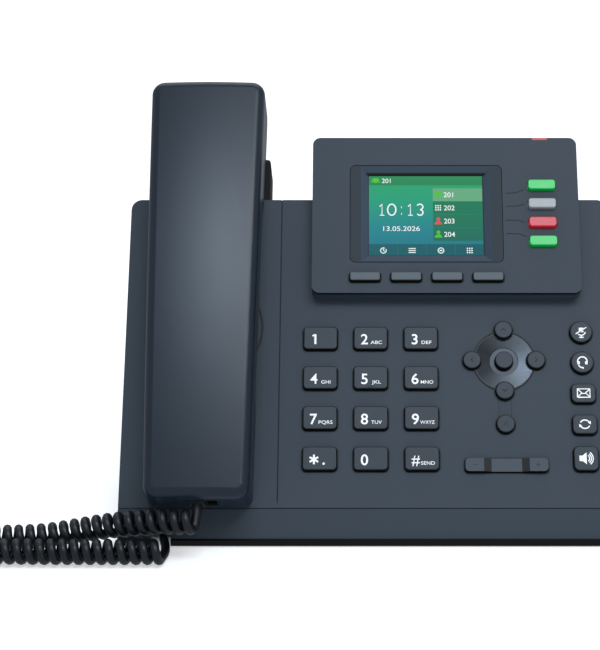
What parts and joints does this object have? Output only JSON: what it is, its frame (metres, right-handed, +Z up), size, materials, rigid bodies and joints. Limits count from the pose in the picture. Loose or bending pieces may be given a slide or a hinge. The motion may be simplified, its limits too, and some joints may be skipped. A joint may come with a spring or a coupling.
{
  "type": "desk ip phone",
  "caption": "Desk phone with a sloping keypad case on a clip-on stand, a raised colour display, navigation ring, volume rocker and a corded handset in its cradle.",
  "frame": {"origin": "centre of the phone's footprint on the desk, measured without the cord", "axes": "+X to the user's right, +Y away from the user, +Z up"},
  "size_m": [0.2968, 0.1684, 0.1652],
  "materials": {
    "case_plastic": "fine matte grain",
    "base_plastic": "fine matte grain",
    "handset_plastic": "satin",
    "key_plastic": "satin",
    "soft_key_plastic": "satin",
    "lens_green": "translucent",
    "lens_white": "translucent",
    "lens_red": "translucent",
    "bezel_plastic": "semi-gloss",
    "screen_glass": "lit colour display",
    "ring_metal": "metallic paint",
    "rubber_grey": "matte",
    "cord_jacket": "semi-gloss",
    "board": "solder mask",
    "steel": "plated",
    "driver_metal": "black",
    "jack_plastic": "moulded",
    "plug_plastic": "clear"
  },
  "bodies": {
    "base": {"lower_shell": "base_plastic", "upper_shell": "case_plastic", "case_screws": "steel", "key_membrane": "rubber_grey", "main_board": "board", "loudspeaker": "driver_metal", "head_front": "case_plastic", "message_lamp": "lens_red", "head_rear": "case_plastic", "display_bezel": "bezel_plastic", "lcd_panel": "screen_glass", "head_board": "board", "nav_ring": "ring_metal", "rear_jacks": "jack_plastic", "base_cord_jack": "jack_plastic", "base_plug": "plug_plastic", "stand": "base_plastic", "front_feet": "rubber_grey", "stand_feet": "rubber_grey", "curly_cord": "cord_jacket"},
    "handset": {"handset_back": "handset_plastic", "handset_front": "handset_plastic", "ear_receiver": "driver_metal", "mouth_microphone": "driver_metal", "handset_jack": "jack_plastic", "handset_plug": "plug_plastic"},
    "hook": {"hook_switch": "jack_plastic"},
    "dial_key_1": {"dial_key_1": "key_plastic"},
    "dial_key_2": {"dial_key_2": "key_plastic"},
    "dial_key_3": {"dial_key_3": "key_plastic"},
    "dial_key_4": {"dial_key_4": "key_plastic"},
    "dial_key_5": {"dial_key_5": "key_plastic"},
    "dial_key_6": {"dial_key_6": "key_plastic"},
    "dial_key_7": {"dial_key_7": "key_plastic"},
    "dial_key_8": {"dial_key_8": "key_plastic"},
    "dial_key_9": {"dial_key_9": "key_plastic"},
    "dial_key_star": {"dial_key_star": "key_plastic"},
    "dial_key_0": {"dial_key_0": "key_plastic"},
    "dial_key_hash": {"dial_key_hash": "key_plastic"},
    "nav_key_up": {"nav_key_up": "key_plastic"},
    "nav_key_down": {"nav_key_down": "key_plastic"},
    "nav_key_left": {"nav_key_left": "key_plastic"},
    "nav_key_right": {"nav_key_right": "key_plastic"},
    "ok_key": {"ok_key": "key_plastic"},
    "cancel_key": {"cancel_key": "key_plastic"},
    "mute_key": {"mute_key": "key_plastic"},
    "headset_key": {"headset_key": "key_plastic"},
    "message_key": {"message_key": "key_plastic"},
    "redial_key": {"redial_key": "key_plastic"},
    "hands_free_key": {"hands_free_key": "key_plastic"},
    "soft_key_1": {"soft_key_1": "soft_key_plastic"},
    "soft_key_2": {"soft_key_2": "soft_key_plastic"},
    "soft_key_3": {"soft_key_3": "soft_key_plastic"},
    "soft_key_4": {"soft_key_4": "soft_key_plastic"},
    "line_key_1": {"line_key_1": "lens_green"},
    "line_key_2": {"line_key_2": "lens_white"},
    "line_key_3": {"line_key_3": "lens_red"},
    "line_key_4": {"line_key_4": "lens_green"},
    "volume_rocker": {"volume_rocker": "key_plastic"}
  },
  "joints": [
    {"name": "handset_lift", "type": "slide", "parent": "base", "child": "handset", "axis": [0, -0.766, 0.6428], "range_m": [0, 0.08], "deforming": ["curly_cord"]},
    {"name": "hook_travel", "type": "slide", "parent": "base", "child": "hook", "axis": [0, -0.766, 0.6428], "range_m": [0, 0.0025]},
    {"name": "dial_key_1_press", "type": "slide", "parent": "base", "child": "dial_key_1", "axis": [0, 0.766, -0.6428], "range_m": [0, 0.0012], "stiffness_N_per_m": 400},
    {"name": "dial_key_2_press", "type": "slide", "parent": "base", "child": "dial_key_2", "axis": [0, 0.766, -0.6428], "range_m": [0, 0.0012], "stiffness_N_per_m": 400},
    {"name": "dial_key_3_press", "type": "slide", "parent": "base", "child": "dial_key_3", "axis": [0, 0.766, -0.6428], "range_m": [0, 0.0012], "stiffness_N_per_m": 400},
    {"name": "dial_key_4_press", "type": "slide", "parent": "base", "child": "dial_key_4", "axis": [0, 0.766, -0.6428], "range_m": [0, 0.0012], "stiffness_N_per_m": 400},
    {"name": "dial_key_5_press", "type": "slide", "parent": "base", "child": "dial_key_5", "axis": [0, 0.766, -0.6428], "range_m": [0, 0.0012], "stiffness_N_per_m": 400},
    {"name": "dial_key_6_press", "type": "slide", "parent": "base", "child": "dial_key_6", "axis": [0, 0.766, -0.6428], "range_m": [0, 0.0012], "stiffness_N_per_m": 400},
    {"name": "dial_key_7_press", "type": "slide", "parent": "base", "child": "dial_key_7", "axis": [0, 0.766, -0.6428], "range_m": [0, 0.0012], "stiffness_N_per_m": 400},
    {"name": "dial_key_8_press", "type": "slide", "parent": "base", "child": "dial_key_8", "axis": [0, 0.766, -0.6428], "range_m": [0, 0.0012], "stiffness_N_per_m": 400},
    {"name": "dial_key_9_press", "type": "slide", "parent": "base", "child": "dial_key_9", "axis": [0, 0.766, -0.6428], "range_m": [0, 0.0012], "stiffness_N_per_m": 400},
    {"name": "dial_key_star_press", "type": "slide", "parent": "base", "child": "dial_key_star", "axis": [0, 0.766, -0.6428], "range_m": [0, 0.0012], "stiffness_N_per_m": 400},
    {"name": "dial_key_0_press", "type": "slide", "parent": "base", "child": "dial_key_0", "axis": [0, 0.766, -0.6428], "range_m": [0, 0.0012], "stiffness_N_per_m": 400},
    {"name": "dial_key_hash_press", "type": "slide", "parent": "base", "child": "dial_key_hash", "axis": [0, 0.766, -0.6428], "range_m": [0, 0.0012], "stiffness_N_per_m": 400},
    {"name": "nav_key_up_press", "type": "slide", "parent": "base", "child": "nav_key_up", "axis": [0, 0.766, -0.6428], "range_m": [0, 0.0012], "stiffness_N_per_m": 400},
    {"name": "nav_key_down_press", "type": "slide", "parent": "base", "child": "nav_key_down", "axis": [0, 0.766, -0.6428], "range_m": [0, 0.0012], "stiffness_N_per_m": 400},
    {"name": "nav_key_left_press", "type": "slide", "parent": "base", "child": "nav_key_left", "axis": [0, 0.766, -0.6428], "range_m": [0, 0.0012], "stiffness_N_per_m": 400},
    {"name": "nav_key_right_press", "type": "slide", "parent": "base", "child": "nav_key_right", "axis": [0, 0.766, -0.6428], "range_m": [0, 0.0012], "stiffness_N_per_m": 400},
    {"name": "ok_key_press", "type": "slide", "parent": "base", "child": "ok_key", "axis": [0, 0.766, -0.6428], "range_m": [0, 0.0012], "stiffness_N_per_m": 400},
    {"name": "cancel_key_press", "type": "slide", "parent": "base", "child": "cancel_key", "axis": [0, 0.766, -0.6428], "range_m": [0, 0.0012], "stiffness_N_per_m": 400},
    {"name": "mute_key_press", "type": "slide", "parent": "base", "child": "mute_key", "axis": [0, 0.766, -0.6428], "range_m": [0, 0.0012], "stiffness_N_per_m": 400},
    {"name": "headset_key_press", "type": "slide", "parent": "base", "child": "headset_key", "axis": [0, 0.766, -0.6428], "range_m": [0, 0.0012], "stiffness_N_per_m": 400},
    {"name": "message_key_press", "type": "slide", "parent": "base", "child": "message_key", "axis": [0, 0.766, -0.6428], "range_m": [0, 0.0012], "stiffness_N_per_m": 400},
    {"name": "redial_key_press", "type": "slide", "parent": "base", "child": "redial_key", "axis": [0, 0.766, -0.6428], "range_m": [0, 0.0012], "stiffness_N_per_m": 400},
    {"name": "hands_free_key_press", "type": "slide", "parent": "base", "child": "hands_free_key", "axis": [0, 0.766, -0.6428], "range_m": [0, 0.0012], "stiffness_N_per_m": 400},
    {"name": "soft_key_1_press", "type": "slide", "parent": "base", "child": "soft_key_1", "axis": [0, 0.766, -0.6428], "range_m": [0, 0.001], "stiffness_N_per_m": 400},
    {"name": "soft_key_2_press", "type": "slide", "parent": "base", "child": "soft_key_2", "axis": [0, 0.766, -0.6428], "range_m": [0, 0.001], "stiffness_N_per_m": 400},
    {"name": "soft_key_3_press", "type": "slide", "parent": "base", "child": "soft_key_3", "axis": [0, 0.766, -0.6428], "range_m": [0, 0.001], "stiffness_N_per_m": 400},
    {"name": "soft_key_4_press", "type": "slide", "parent": "base", "child": "soft_key_4", "axis": [0, 0.766, -0.6428], "range_m": [0, 0.001], "stiffness_N_per_m": 400},
    {"name": "line_key_1_press", "type": "slide", "parent": "base", "child": "line_key_1", "axis": [0, 0.766, -0.6428], "range_m": [0, 0.001], "stiffness_N_per_m": 400},
    {"name": "line_key_2_press", "type": "slide", "parent": "base", "child": "line_key_2", "axis": [0, 0.766, -0.6428], "range_m": [0, 0.001], "stiffness_N_per_m": 400},
    {"name": "line_key_3_press", "type": "slide", "parent": "base", "child": "line_key_3", "axis": [0, 0.766, -0.6428], "range_m": [0, 0.001], "stiffness_N_per_m": 400},
    {"name": "line_key_4_press", "type": "slide", "parent": "base", "child": "line_key_4", "axis": [0, 0.766, -0.6428], "range_m": [0, 0.001], "stiffness_N_per_m": 400},
    {"name": "volume_rocker_tilt", "type": "hinge", "parent": "base", "child": "volume_rocker", "pos_m": [0.0555, -0.04292, 0.02486], "axis": [0, 0.6428, 0.766], "range_deg": [-2.5, 2.5], "stiffness_Nm_per_rad": 0.05}
  ],
  "couplings": [
    {"joint": "hook_travel", "follows": "handset_lift", "ratio": 0.03125}
  ]
}
